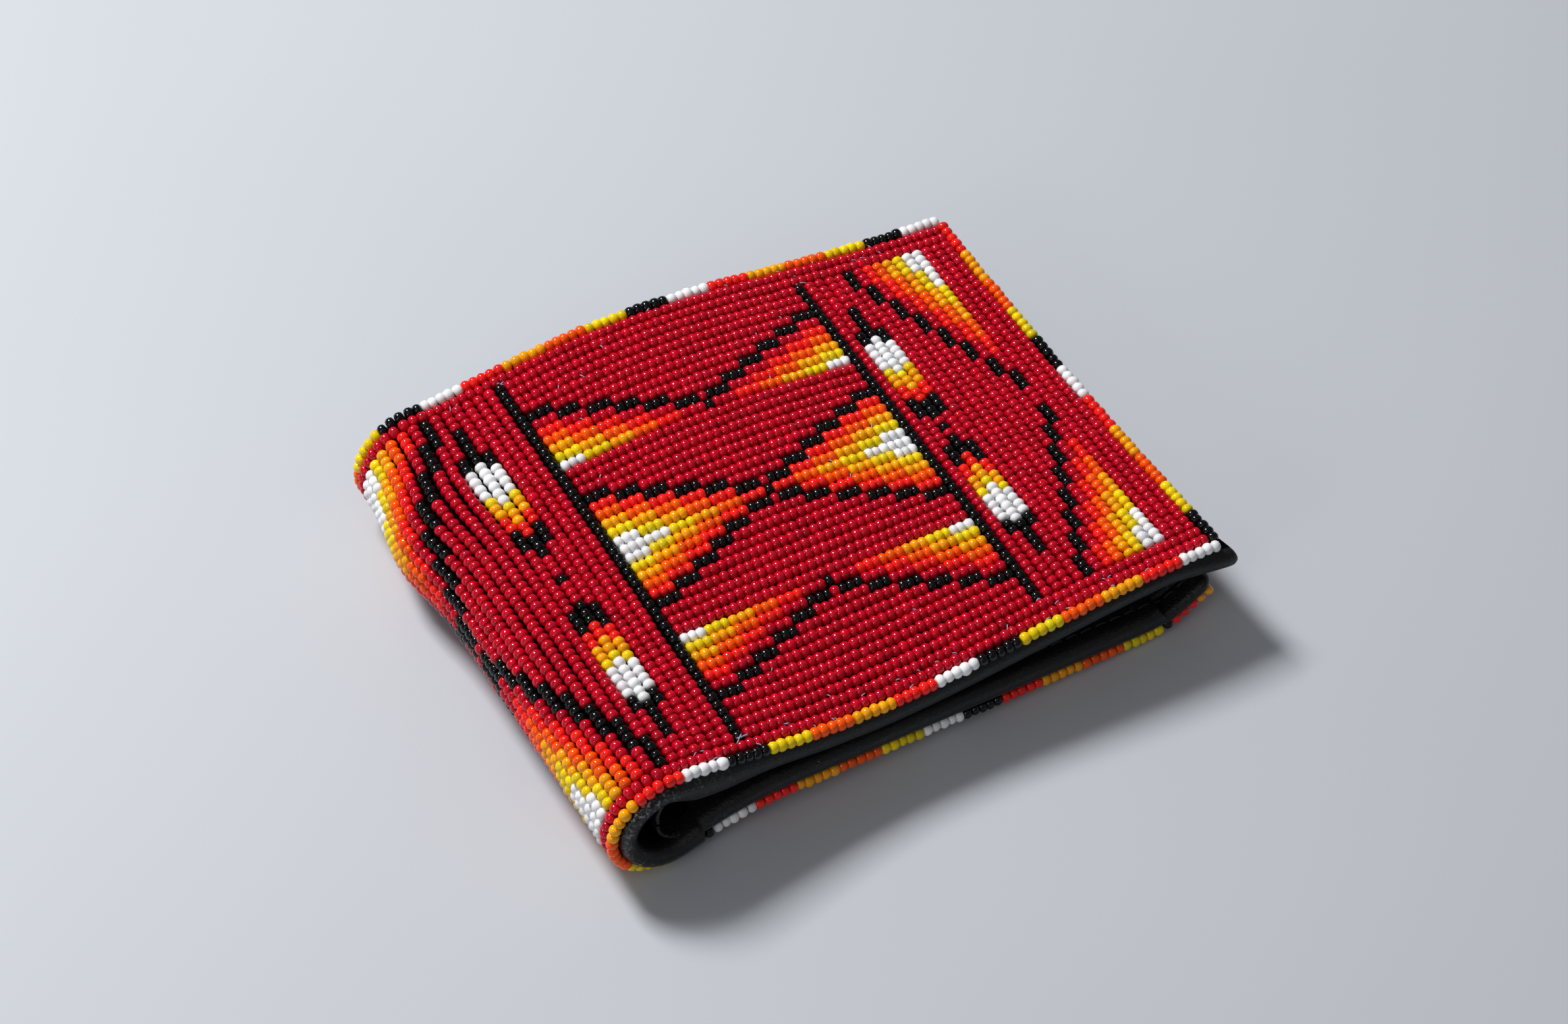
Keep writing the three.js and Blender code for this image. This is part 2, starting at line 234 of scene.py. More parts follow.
def leather(name, grain, crease, shine, dark, scuff_and_sparkle):
    """Black leather on its flat lay: pebbled grain, ripples across the bend, pale scuffs where proud that on
    the bend are also a painted highlight, sparkles of light on the grain, dust.
    """
    made, wire, into = new_material(name, 0.5)
    lay = wire.node("ShaderNodeUVMap", {"uv_map": "lay"})
    from_fold = wire.node("ShaderNodeSeparateXYZ", out="X", Vector=lay)
    round_edge = wire.node("ShaderNodeSeparateXYZ", out="Y", Vector=lay)
    away = wire.node("ShaderNodeMath", {"operation": "ABSOLUTE"}, i0=from_fold)
    rim = round_edge.ramp(*RIM_FADE_IN) * round_edge.ramp(*RIM_FADE_OUT)
    bend = rim * (1 - away.ramp(*BEND_FADE, "SMOOTHSTEP"))
    pebble = wire.node("ShaderNodeTexVoronoi", {"feature": "DISTANCE_TO_EDGE"}, Vector=lay, Scale=1500.0)
    soft = wire.node("ShaderNodeTexNoise", Vector=lay, Scale=420.0, Detail=5.0, Roughness=0.6)
    wide = wire.node("ShaderNodeTexNoise", Vector=lay, Scale=60.0, Detail=3.0)
    across = wire.node("ShaderNodeMapping", Vector=lay, Scale=(520.0, 240.0, 1.0))
    ripple = wire.node("ShaderNodeTexNoise", Vector=across, Scale=1.0, Detail=5.0, Distortion=1.6)
    height = pebble * grain + soft * 0.5 + ripple * (0.25 + bend * crease)
    wire.plug(into["Normal"], height.bump(0.6, 0.0004))
    grit = wire.node("ShaderNodeTexNoise", Vector=lay, Scale=1300.0, Detail=4.0)
    proud = (ripple * 0.4 + grit * 0.6).ramp(0.53, 0.62)
    speck = wire.node("ShaderNodeTexVoronoi", Vector=lay, Scale=260.0)
    dusty = speck.ramp(0.035, 0.025)
    # Pale scuffs where the grain is proud are wear; round the bend of the rim they are mostly a painted
    # highlight, sparkles of light on the crinkled grain.
    scuffs_and_sparkles = (proud * (0.03 + bend * 0.9)).mix(dark, scuff_and_sparkle)
    wire.plug(into["Base Color"], (dusty * 0.8).mix(scuffs_and_sparkles, DUST))
    wire.plug(into["Roughness"], 0.3 + wide * 0.16 + soft * 0.14 - bend * 0.2)
    into["Specular IOR Level"].default_value = shine
    return made


# The cover's pale scuff colour, strongest on the bend of the rim, is partly wear and partly a painted
# highlight.
cover_leather = leather("cover leather", 0.5, 1.4, 0.4, srgb(12, 11, 12), srgb(140, 137, 134))
# The leather under the beads is a little darker than the cover and has no shine: painted shade in the
# grooves between the strings.
bead_ground = leather("leather under the beads", 0.5, 0.2, 0.0, srgb(9, 8, 9), srgb(20, 19, 19))
lining_leather = leather("lining leather", 0.8, 0.3, 0.35, srgb(18, 17, 17), srgb(58, 55, 53))
raw_leather = leather("raw leather edge", 1.0, 0.2, 0.3, srgb(36, 34, 33), srgb(62, 59, 56))


def add_piece(name, bm, materials):
    mesh = bpy.data.meshes.new(name)
    bm.to_mesh(mesh)
    bm.free()
    for material in materials:
        mesh.materials.append(material)
    mesh.shade_smooth()
    piece = bpy.data.objects.new(name, mesh)
    bpy.context.scene.collection.objects.link(piece)
    return piece


def ringed_tube(sides, radius, cuts):
    """A capped tube of unit length along Z, cut into rings."""
    bm = bmesh.new()
    bmesh.ops.create_cone(bm, cap_ends=True, segments=sides, radius1=radius, radius2=radius, depth=1)
    upright = [e for e in bm.edges if abs(e.verts[0].co.z - e.verts[1].co.z) > 0.5]
    bmesh.ops.subdivide_edges(bm, edges=upright, cuts=cuts)
    return bm


def girth(ring):
    """How far round a section each of its points lies: y on its outer face, and on to where it closes."""
    steps = [math.dist(a, b) for a, b in zip(ring, ring[1:] + ring[:1])]
    return ring[0][0] - np.cumsum([0, *steps])


def strip(name, stations, section, place, finish, other_sides):
    """A closed leather strip: a tube with a ring of it set on its section at each station.

    The sides that other_sides counts take the second leather of the finish.
    """
    rings = [section(s) for s in stations]
    girths = [girth(ring) for ring in rings]
    sides = len(rings[0])
    bm = ringed_tube(sides, 1, len(stations) - 2)
    lay = bm.loops.layers.uv.new("lay")
    spots, other = {}, set()
    for v in bm.verts:
        ring = round((v.co.z + 0.5) * (len(stations) - 1))
        side = round(math.atan2(-v.co.x, v.co.y) / (2 * math.pi) * sides) % sides
        y, h = rings[ring][side]
        spots[v] = ring, side
        if side in other_sides:
            other.add(v)
        v.co = place(stations[ring], y, h)
    for face in bm.faces:
        face.material_index = int(other.issuperset(face.verts))
        closing = any(spots[v][1] == sides - 1 for v in face.verts)
        for loop in face.loops:
            ring, side = spots[loop.vert]
            loop[lay].uv = stations[ring] / 1000, girths[ring][side or (sides if closing else 0)] / 1000
    bmesh.ops.recalc_face_normals(bm, faces=bm.faces)
    piece = add_piece(name, bm, finish)
    piece.data.set_sharp_from_angle(angle=math.radians(55))
    return piece


def rounded(into, radius):
    """How much of a rounded end's thickness is left, into mm before its tip."""
    return math.sqrt(max(0.0, 1 - (1 - min(into / radius, 1.0)) ** 2))


def pleat(s):
    """The turned edge is bunched where it comes round under the loop, and pinched to a tip behind that."""
    return smooth(*PLEAT_RISE, -s) * (1 - smooth(PLEAT_START, PLEAT_TIP, -s))


def hem_at(s):
    """Thickness of the turned edge: thin round the loop, bunched as it comes off, thin on the back's lip."""
    thick = LOOP_RIM + (HEM - LOOP_RIM) * smooth(*HEM_GROWTH, abs(s))
    thick += BUNCH * smooth(*BUNCH_RISE, s) * (1 - smooth(*BUNCH_FALL, s))
    return thick - (HEM - LIP_HEM) * smooth(LIP_CREASE - CREASE_HALF, LIP_CREASE + CREASE_HALF, -s)


ACROSS = 16


def cover_section(s):
    """The cover's outline at s as (y, height): beaded outside, turned near edge, inside, far edge."""
    side = 1 if s > 0 else -1
    left = COVER_END - abs(s)
    bunch = pleat(s)
    rim_out = RIM_OUT * (1 - (smooth(*RIM_FALL, s) if side > 0 else smooth(PLEAT_START, PLEAT_TIP, -s)))
    corner = CORNER_R * (1 - rounded(left, CORNER_R))
    near_corner = EAR_R * (1 - rounded(left, EAR_R)) if side > 0 else corner
    ear = EAR * smooth(COVER_END - EAR_RUN, COVER_END, s)
    near = -COVER_Y + near_corner - ear - rim_out - PLEAT_OUT * bunch
    far = COVER_Y - corner
    hem = hem_at(s)
    sheet = SHEET + (hem - SHEET) * smooth(*TIP_GROWTH, left)
    r, half = hem / 2, sheet / 2
    span = near + r - far + half
    ring = [(far - half + span * i / ACROSS, 0) for i in range(ACROSS + 1)]
    for a in np.radians(np.arange(22.5, 180, 22.5)):
        reach = r + bunch * max(0, math.cos(a))
        ring.append((near + r - r * math.sin(a), -r + reach * math.cos(a)))
    cut = -hem + min(0.3, hem - sheet)
    ring += [(near + r, -hem), (near + HEM_FLAT, -hem), (near + HEM_CUT, cut), (near + HEM_FOOT, -sheet)]
    span = far - half - near - SHEET_FROM
    ring += [(near + SHEET_FROM + span * i / ACROSS, -sheet) for i in range(ACROSS + 1)]
    for a in np.radians(np.arange(30, 180, 30)):
        ring.append((far - half + half * math.sin(a), -half - half * math.cos(a)))
    if left < TIP_R:
        tip = max(rounded(left, TIP_R), TIP_LEAST)
        ring = [(y, -r + (h + r) * tip) for y, h in ring]
    return ring


def cover_place(s, y, h):
    """As on_cover, with the front's near corner drawn out into an ear past its free edge."""
    out = EAR_OUT * smooth(COVER_END - EAR_RUN, COVER_END, s) * smooth(*EAR_SIDE, y)
    return on_cover(s + out, y, h)


def cover_stations(side):
    """Distances from the fold line, closest together at the pinch, the lip's crease and the free edge."""
    run = [*np.linspace(QUARTER, PLEAT_TIP - 1, 8), *np.linspace(PLEAT_START, PLEAT_TIP, 6)]
    run += [*np.linspace(PLEAT_TIP + 1, LIP_CREASE - 0.8, 52)]
    run += [*np.linspace(LIP_CREASE - CREASE_HALF, LIP_CREASE + CREASE_HALF, 6)]
    run += [*np.linspace(LIP_CREASE + 0.9, COVER_END - 6, 5)]
    run += (COVER_END - np.array(TIP_STEPS)).tolist()
    return [side * s for s in run]


COVER_FINISH, BEADED_SIDES = [cover_leather, bead_ground], set(range(ACROSS + 1))
for body, side in HALVES:
    stations = cover_stations(side)
    cover = strip(f"{body}_cover", stations, cover_section, cover_place, COVER_FINISH, BEADED_SIDES)
    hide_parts(f"{body}_shell")
    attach(cover, body)


def bend_with_fold(piece):
    """The piece's placement is baked into its mesh; it is attached to neither half."""
    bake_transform(piece)


stations = np.linspace(-QUARTER, QUARTER, 49).tolist()
fold_cover = strip("fold_cover", stations, cover_section, cover_place, COVER_FINISH, BEADED_SIDES)
bend_with_fold(fold_cover)

# Bill walls: a thin leather lining in each half, stitched into the turned edges, that leaves the
# cover before the fold and curls in, so that notes can pass round the loop behind it.
WALL, LAYER_GAP = 0.6, 0.25
WALL_DEPTH = SHEET + LAYER_GAP
CURL_R = 5.6
CURL_START = {1: 18.0, -1: 20.0}
TUCK, LIP_TUCK, WALL_INSET, BILL_STEP = 2.6, 1.4, 0.8, 5.0
FOLD_GAP = 0.3
LINING_FINISH = [lining_leather, raw_leather]
LEAF_ACROSS, CUT_ROUND = 12, np.radians((45, 90, 135))
NEAR_CUT, FAR_CUT = set(range(12, 17)), {28, 29, 30, 31, 0}


def curl_of(side):
    x, z, nx, nz = cover_line(side * CURL_START[side])
    centre = (x - nx * (WALL_DEPTH + CURL_R), z - nz * (WALL_DEPTH + CURL_R))
    first = math.atan2(nz, nx)
    last = side * (math.pi - math.asin((FOLD_GAP - side * centre[1]) / CURL_R))
    return centre, first, last


def on_wall(side):
    (cx, cz), first, last = curl_of(side)
    curl = CURL_R * abs(last - first)

    def place(d, y, h):
        if d >= curl:
            return on_cover(side * (CURL_START[side] + d - curl), y, h - WALL_DEPTH)
        angle = first + (last - first) * (1 - d / curl)
        reach = CURL_R + h
        return settle(cx + reach * math.cos(angle), y, cz + reach * math.sin(angle), side > 0)

    return place, curl


def lip_tuck(side, end, d):
    """How much farther in a layer's near edge lies where the back's free end curls up."""
    return LIP_TUCK * smooth(end - LIP_RUN, end - LIP_RUN + 5, d) if side < 0 else 0


def leaf_section(near, far, thick):
    """The outline of a thin leather layer from its far to its near edge, both edges a little rounded."""

    def section(d):
        low, high = near(d), far(d)
        half = thick / 2
        span = low + half - high + half
        ring = [(high - half + span * i / LEAF_ACROSS, 0) for i in range(LEAF_ACROSS + 1)]
        ring += [(low + half - half * math.sin(a), -half + half * math.cos(a)) for a in CUT_ROUND]
        span = high - half - low - half
        ring += [(low + half + span * i / LEAF_ACROSS, -thick) for i in range(LEAF_ACROSS + 1)]
        ring += [(high - half + half * math.sin(a), -half - half * math.cos(a)) for a in CUT_ROUND]
        return ring

    return section


for body, side in HALVES:
    place, curl = on_wall(side)
    end = curl + COVER_END - CURL_START[side] - TUCK
    stations = [*np.linspace(0, curl, 14), *np.linspace(curl, end, 44)[1:]]

    def near(d):
        tucked = (TUCK - WALL_INSET) * smooth(curl - 3, curl + 4, d)
        return -COVER_Y + WALL_INSET + tucked + lip_tuck(side, end, d)

    section = leaf_section(near, lambda d: COVER_Y - WALL_INSET - BILL_STEP, WALL)
    wall = strip(f"{body}_wall", stations, section, place, LINING_FINISH, NEAR_CUT | FAR_CUT)
    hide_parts(f"{body}_bill_wall")
    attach(wall, body)

# Card leaves: two stepped leather pockets in each half, sewn in at the near and free edges, open
# towards the far edge; the lower one has a thumb notch in its mouth.
LEAF = 0.5
LEAF_START, LEAF_END = 36.0, COVER_END - TUCK
NOTCH_DEPTH, NOTCH_HALF, NOTCH_MIDDLE = 6.0, 10.0, (LEAF_START + COVER_END - 0.8) / 2
LEAVES = (("upper", 24.0, 0.0), ("lower", 9.0, NOTCH_DEPTH))
for body, side in HALVES:
    for level, (leaf_name, mouth, notch) in enumerate(LEAVES):
        depth = WALL_DEPTH + WALL + LAYER_GAP + level * (LEAF + LAYER_GAP)

        def near(s):
            return -COVER_Y + TUCK + lip_tuck(side, LEAF_END, s)

        def mouth_edge(s):
            return mouth - notch * math.sqrt(max(0.0, 1 - ((s - NOTCH_MIDDLE) / NOTCH_HALF) ** 2))

        def place(s, y, h):
            return on_cover(side * s, y, h - depth)

        stations = np.linspace(LEAF_START, LEAF_END, 92).tolist()
        section = leaf_section(near, mouth_edge, LEAF)
        leaf = strip(f"{body}_leaf_{leaf_name}", stations, section, place, LINING_FINISH, FAR_CUT)
        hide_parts(f"{body}_card_leaf_{leaf_name}")
        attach(leaf, body)

# Seed beads: small glass beads, a little flattened along the string, opaque and glossy, no two
# quite alike. They are strung in rows and sewn down to the leather.
chance = np.random.default_rng(11)
BEAD_D, BEAD_FILL, BEAD_CLOSE, BEAD_STRETCH = 2.0, 1.07, 1.02, 1.03
SIZE_DRIFT, SEAT_DRIFT, LIFT_SHARE, LEAN_DRIFT, TIP_DRIFT = 0.03, 0.045, 0.6, 0.05, 0.06
TONE_DRIFT, HUE_DRIFT, WHITE_DRIFT = 0.07, 0.03, 0.008
FEEL = 0.1
COLOURS = {
    "crimson": srgb(192, 2, 32),
    "red": srgb(246, 32, 26),
    "orange": srgb(252, 88, 4),
    "amber": srgb(248, 164, 6),
    "yellow": srgb(238, 206, 8),
    "white": srgb(242, 241, 243),
    "black": srgb(5, 5, 6),
}
PANEL_OUTLINE = ((-0.5, 0.4), (-0.385, 0.82), (0, 1), (0.385, 0.82), (0.5, 0.4))
RIM_OUTLINE = ((-0.5, 0.4), (-0.42, 0.76), (-0.15, 0.985), (0.15, 0.985), (0.42, 0.76), (0.5, 0.4))


def bead_glass():
    made, wire, into = new_material("bead glass", 0.12)
    tint = wire.node("ShaderNodeAttribute", {"attribute_name": "bead_colour"})
    place = wire.node("ShaderNodeTexCoord", out="Object")
    wave = wire.node("ShaderNodeTexNoise", Vector=place, Scale=900.0, Detail=2.0)
    deeper = wire.node("ShaderNodeHueSaturation", Value=0.72, Color=tint)
    wire.plug(into["Base Color"], (0.25 * wave).mix(tint, deeper))
    wire.plug(into["Roughness"], 0.05 + wave * 0.1)
    wire.plug(into["Normal"], wave.bump(0.12, 0.0002))
    into["Specular IOR Level"].default_value = 0.38
    return made


def by_corners(part):
    """A number that puts a bead's edges or faces in one order, because a spin leaves them in any."""
    places = [v.index for v in part.verts]
    return min(places) * 1000 + max(places)


def bead_mesh(sides, half_outline):
    """One bead of unit length and radius, its hole along Z, turned from half an outline of (z, radius)."""
    bm = bmesh.new()
    outline = [bm.verts.new((r, 0, z)) for z, r in half_outline]
    profile = outline + [bm.edges.new(pair) for pair in zip(outline, outline[1:])]
    turn = {"cent": (0, 0, 0), "axis": (0, 0, 1), "angle": 2 * math.pi}
    bmesh.ops.spin(bm, geom=profile, steps=sides, use_merge=True, **turn)
    bmesh.ops.remove_doubles(bm, verts=bm.verts, dist=1e-5)
    bm.verts.index_update()
    bm.edges.sort(key=by_corners)
    bm.faces.sort(key=by_corners)
    bmesh.ops.holes_fill(bm, edges=bm.edges, sides=0)
    bmesh.ops.recalc_face_normals(bm, faces=bm.faces)
    mesh = bpy.data.meshes.new("bead")
    bm.to_mesh(mesh)
    bm.free()
    return mesh


panel_bead = bead_mesh(10, PANEL_OUTLINE)
rim_bead = bead_mesh(12, RIM_OUTLINE)
glass = bead_glass()


def bead_seat(s, y, h):
    """Where a bead sits and the cover's ways there: along and across, a little stretched, and out."""
    along = (on_cover(s + FEEL, y, h) - on_cover(s - FEEL, y, h)) * (500 / FEEL)
    across = (on_cover(s, y + FEEL, h) - on_cover(s, y - FEEL, h)) * (500 / FEEL)
    along, across = (way * min(1, BEAD_STRETCH / way.length) for way in (along, across))
    return on_cover(s, y, h), along, across, along.cross(across).normalized()


def set_down(bm, shape, ways, point):
    """A copy of a small shape in bm, its X, Y and Z laid along three ways, at a point."""
    turn = Matrix(ways).transposed().to_4x4()
    turn.translation = point
    shape.transform(turn)
    bm.from_mesh(shape)
    shape.transform(turn.inverted())


def string_beads(name, beads, bead=panel_bead):
    """One piece of beads: each is (s, y, angle of its string to the cover's length, length, colour name)."""
    bm = bmesh.new()
    tints = []
    for s, y, angle, length, colour in beads:
        size = 1 + SIZE_DRIFT * chance.standard_normal()
        drift = chance.normal(0, SEAT_DRIFT, 3)
        height = BEAD_D / 2 + LIFT_SHARE * drift[2]
        point, along, across, out = bead_seat(s + drift[0], y + drift[1], height)
        lean = math.radians(angle) + chance.normal(0, LEAN_DRIFT)
        axis = along * math.cos(lean) + across * math.sin(lean)
        beside = across * math.cos(lean) - along * math.sin(lean)
        tip = Matrix.Rotation(chance.normal(0, TIP_DRIFT), 3, beside)
        radius = BEAD_D / 2 * BEAD_FILL * size / 1000
        long = length * size * BEAD_CLOSE / 1000
        set_down(bm, bead, (tip @ beside * -radius, tip @ out * radius, tip @ axis * long), point)
        tone = 1 + chance.normal(0, TONE_DRIFT)
        hue = 1 + chance.normal(0, WHITE_DRIFT if colour == "white" else HUE_DRIFT, 3)
        tints.append((*np.clip(np.array(COLOURS[colour][:3]) * tone * hue, 0, 1), 1))
    piece = add_piece(name, bm, [glass])
    attribute = piece.data.attributes.new("bead_colour", "FLOAT_COLOR", "POINT")
    attribute.data.foreach_set("color", np.repeat(np.array(tints), len(bead.vertices), axis=0).ravel())
    return piece


def split_at_fold(name, beads, node_name, bead=panel_bead):
    """Beads past the loop ride with their half; the rest are given back for the loop's own piece."""
    for body, side in HALVES:
        own = [b for b in beads if b[0] * side > QUARTER]
        piece = string_beads(f"{body}_{name}", own, bead)
        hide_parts(f"{body}_{node_name}")
        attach(piece, body)
    return [b for b in beads if abs(b[0]) <= QUARTER]


# Fold strings: strings laid across the cover, side by side from the inner bar round the loop to
# the back. A feather on crimson ground stands beside a stepped flame that opens towards the fold.
FOLD_PITCH, FOLD_STRINGS, FOLD_HALF = 2.0, 14, 40.875
STRING_REACH, STEP_BEADS = 25, 3
LENGTH_DRIFT = 0.055
WANDER, WANDER_RUN, WANDER_TURN = 0.06, 7, 6.28
BAND = ("black", "crimson", "red", "orange", "amber", "yellow", "white")
FOLD_QUILL_AT, FOLD_FLAME_AT = 4, 6
FOLD_QUILL = (
    (0, "black"), (3, "crimson"), (6, "black"), (8, "red"),
    (10, "amber"), (11, "yellow"), (17, "white"), (22, "black"),
)
FOLD_VANE = (
    (4, "crimson"), (7, "black"), (9, "red"),
    (11, "amber"), (12, "yellow"), (16, "white"), (18, "black"),
)


def flame(step, notch):
    level = step - notch
    return "crimson" if level < 0 else BAND[min(level, len(BAND) - 1)]


def feather(b, ends):
    for limit, colour in ends:
        if b <= limit:
            return colour
    return "crimson"


def fold_colour(k, b):
    """Colour of bead b from the middle on string k from the inner bar."""
    if abs(k - FOLD_QUILL_AT) <= 1:
        return feather(abs(b), FOLD_QUILL if k == FOLD_QUILL_AT else FOLD_VANE)
    if k < FOLD_FLAME_AT:
        return "crimson"
    n = STRING_REACH - abs(b)
    if n and n % STEP_BEADS == 0 and k == FOLD_FLAME_AT - 1 + n // STEP_BEADS:
        return "black"
    return flame(k - FOLD_FLAME_AT, n // STEP_BEADS)


def thread_on(start, end, count):
    """Middles and lengths of beads that fill a string from start to end, no two of one length."""
    lengths = 1 + chance.normal(0, LENGTH_DRIFT, count)
    lengths *= (end - start) / lengths.sum()
    return zip(start + np.cumsum(lengths) - lengths / 2, np.abs(lengths))


def wander(run, phase):
    """How far a string strays sideways at a distance along it."""
    return WANDER * math.sin(run / WANDER_RUN + phase)


def cross_string(s, half, colours):
    """One string across the cover, which wanders a little."""
    phase = chance.uniform(0, WANDER_TURN)
    beads = zip(thread_on(-half, half, len(colours)), colours)
    return [(s + wander(y, phase), y, 90, length, colour) for (y, length), colour in beads]


fold_beads = []
for k in range(FOLD_STRINGS):
    colours = [fold_colour(k, b) for b in range(-STRING_REACH, STRING_REACH + 1)]
    for side in (1, -1):
        fold_beads += cross_string(side * (FOLD_STRINGS - 0.5 - k) * FOLD_PITCH, FOLD_HALF, colours)
loop_beads = split_at_fold("shoulder_beads", fold_beads, "fold_strings")

# Black bars: single strings of black beads laid across the cover and sewn down, which frame the
# centre panel on both sides.
INNER_BAR = (FOLD_STRINGS + 0.5) * FOLD_PITCH
CENTRE_START = (FOLD_STRINGS + 1) * FOLD_PITCH
BEAD_PITCH, ROW_BEADS, ROW_PITCH, ROW_REACH = 1.5, 37, 2.0, 20
CENTRE_END = CENTRE_START + ROW_BEADS * BEAD_PITCH
OUTER_BAR = CENTRE_END + 1.0
FREE_HALF, BAR_PITCH = 38.875, 1.58
BARS = (("inner_bar", INNER_BAR, FOLD_HALF), ("outer_bar", OUTER_BAR, FREE_HALF))
for body, side in HALVES:
    for bar_name, middle, half in BARS:
        beads = cross_string(side * middle, half, ["black"] * round(2 * half / BAR_PITCH))
        bar = string_beads(f"{body}_{bar_name}_beads", beads)
        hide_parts(f"{body}_{bar_name}")
        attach(bar, body)

# Centre panel: rows along the cover between the bars. A stepped cross in the middle row and a
# stepped chevron above and below it, each banded from black through red and amber to white.
CROSS_BAND = ("white", "white", "yellow", "amber", "orange", "red", "black")
CHEVRON_BAND = ("white", "yellow", "amber", "orange", "red", "crimson", "black")
CHEVRON_ROW = 10


def centre_colour(c, r):
    """Colour of bead c from the inner bar in row r from the middle row."""
    step = min(c, ROW_BEADS - 1 - c) // STEP_BEADS
    band, first = (CHEVRON_BAND, CHEVRON_ROW) if abs(r) >= CHEVRON_ROW else (CROSS_BAND, 0)
    level = step + abs(r) - first
    return band[level] if level < len(band) else "crimson"


for body, side in HALVES:
    rows = []
    for r in range(-ROW_REACH, ROW_REACH + 1):
        phase = chance.uniform(0, WANDER_TURN)
        for c, (s, length) in enumerate(thread_on(CENTRE_START, CENTRE_END, ROW_BEADS)):
            rows.append((side * s, -r * ROW_PITCH + wander(s, phase), 0, length, centre_colour(c, r)))
    panel = string_beads(f"{body}_centre_beads", rows)
    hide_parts(f"{body}_centre_rows")
    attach(panel, body)

# Free-edge strings: strings across the cover from the outer bar to the edging, with a small
# feather in the middle of a stepped flame that opens towards the free edge.
FREE_PITCH, FREE_STRINGS = 2.0, 15
FREE_START = CENTRE_END + FREE_PITCH
FREE_QUILL_AT, FREE_FLAME_AT, FLAME_STRINGS = 2, 4, 8
FREE_QUILL = (
    (0, "black"), (1, "crimson"), (4, "black"), (6, "red"),
    (8, "amber"), (9, "yellow"), (15, "white"), (20, "black"),
)
FREE_VANE = (
    (2, "crimson"), (5, "black"), (7, "red"),
    (9, "amber"), (10, "yellow"), (14, "white"), (16, "black"),
)


def free_colour(k, b):
    """Colour of bead b from the middle on string k from the outer bar."""
    if abs(k - FREE_QUILL_AT) <= 1:
        return feather(abs(b), FREE_QUILL if k == FREE_QUILL_AT else FREE_VANE)
    if FREE_FLAME_AT <= k < FREE_FLAME_AT + FLAME_STRINGS:
        return flame(k - FREE_FLAME_AT, (STRING_REACH - abs(b)) // STEP_BEADS)
    return "crimson"


for body, side in HALVES:
    strings = []
    for k in range(FREE_STRINGS):
        colours = [free_colour(k, b) for b in range(-STRING_REACH, STRING_REACH + 1)]
        strings += cross_string(side * (FREE_START + (k + 0.5) * FREE_PITCH), FREE_HALF, colours)
    panel = string_beads(f"{body}_free_beads", strings)
    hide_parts(f"{body}_free_strings")
    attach(panel, body)

# Border rows: one plain row inside the edging along each long edge, round the fold, and a short
# row beside it that closes the ends of the free-edge strings.
BORDER_Y, SHORT_Y, BORDER_PITCH = 42.0, 40.0, 1.55
BORDER_END = FREE_START + FREE_STRINGS * FREE_PITCH
SHORT_START = CENTRE_END + 0.1
for border_name, y in (("near", -BORDER_Y), ("far", BORDER_Y)):
    beads = thread_on(-BORDER_END, BORDER_END, round(2 * BORDER_END / BORDER_PITCH))
    row = [(s, y, 0, length, "crimson") for s, length in beads]
    loop_beads += split_at_fold(f"{border_name}_border_beads", row, f"{border_name}_border")
    for body, side in HALVES:
        beads = thread_on(SHORT_START, BORDER_END, round((BORDER_END - CENTRE_END) / BORDER_PITCH))
        row = [(side * s, math.copysign(SHORT_Y, y), 0, length, "crimson") for s, length in beads]
        short = string_beads(f"{body}_{border_name}_short_beads", row)
        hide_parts(f"{body}_{border_name}_short_row")
        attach(short, body)

# Edging: one string of beads whipped along the rim in blocks of five, white, black, yellow,
# orange, amber and red in turn, along both long edges, round the fold, and across the free edges.
EDGE_PITCH = 1.57
EDGE_LINE = 118.5
EDGE_CYCLE = ("white", "black", "yellow", "orange", "amber", "red")
BLOCK = 5
NEAR_ORDER = {23: "white", 24: "black"}
NEAR_LAST = ("black", "red", "red", "red", "amber", "amber")
END_BEADS, END_GAP = 55, 1.1
edge_count = round(2 * EDGE_LINE / EDGE_PITCH)
edge_beads = []
for y, turn in ((-EDGE_Y, -1), (EDGE_Y, 1)):
    for i, (run, length) in enumerate(thread_on(0, edge_count * EDGE_PITCH, edge_count)):
        block = i // BLOCK
        colour = EDGE_CYCLE[turn * block % len(EDGE_CYCLE)]
        if turn < 0:
            left = edge_count - i
            colour = NEAR_LAST[-left] if left <= len(NEAR_LAST) else NEAR_ORDER.get(block, colour)
        edge_beads.append((EDGE_LINE - run, y, 0, length, colour))
for side, first in ((1, 1), (-1, 4)):
    for i, (y, length) in enumerate(thread_on(END_GAP - EDGE_Y, EDGE_Y - END_GAP, END_BEADS)):
        colour = EDGE_CYCLE[(side * (i // BLOCK) + first) % len(EDGE_CYCLE)]
        edge_beads.append((side * EDGE_LINE, y, 90, length, colour))
loop_beads += split_at_fold("edging_beads", edge_beads, "edging", rim_bead)
loop_piece = string_beads("loop_beads", loop_beads, rim_bead)
bend_with_fold(loop_piece)

# Sewing thread: fine waxed thread. Pale bits of it show where the strings are couched down and at
# the ends of the bars, loosest at the inner bar's near end; black stitches along the turned edges
# inside hold the pockets. A bar's end is (its s, its y, longest strand, height over the leather).
THREAD = 0.2
BAR_ENDS = (
    (INNER_BAR, -40.9, 2.6, 1.75),
    (INNER_BAR, 40.9, 1.3, 1.4),
    (OUTER_BAR, -39.0, 1.3, 1.4),
    (OUTER_BAR, 39.0, 1.3, 1.4),
)
END_STRANDS, ROW_BITS, BORDER_BITS = 3, 16, 34
ROW_BIT_HIGH, BORDER_BIT_HIGH = 1.3, 1.35
BORDER_BITS_FROM, BORDER_BITS_TO = 16, FREE_START + 20
SEAM_STITCH, SEAM_THREAD, SEAM_PITCH = 2.1, 0.34, 2.9
NEAR_SEAM_Y, NEAR_SEAM_RUN = -COVER_Y + 3.4, (37, COVER_END - 4)
FREE_SEAM_S, FREE_SEAM_RUN = COVER_END - 3.1, (-38.5, 41)


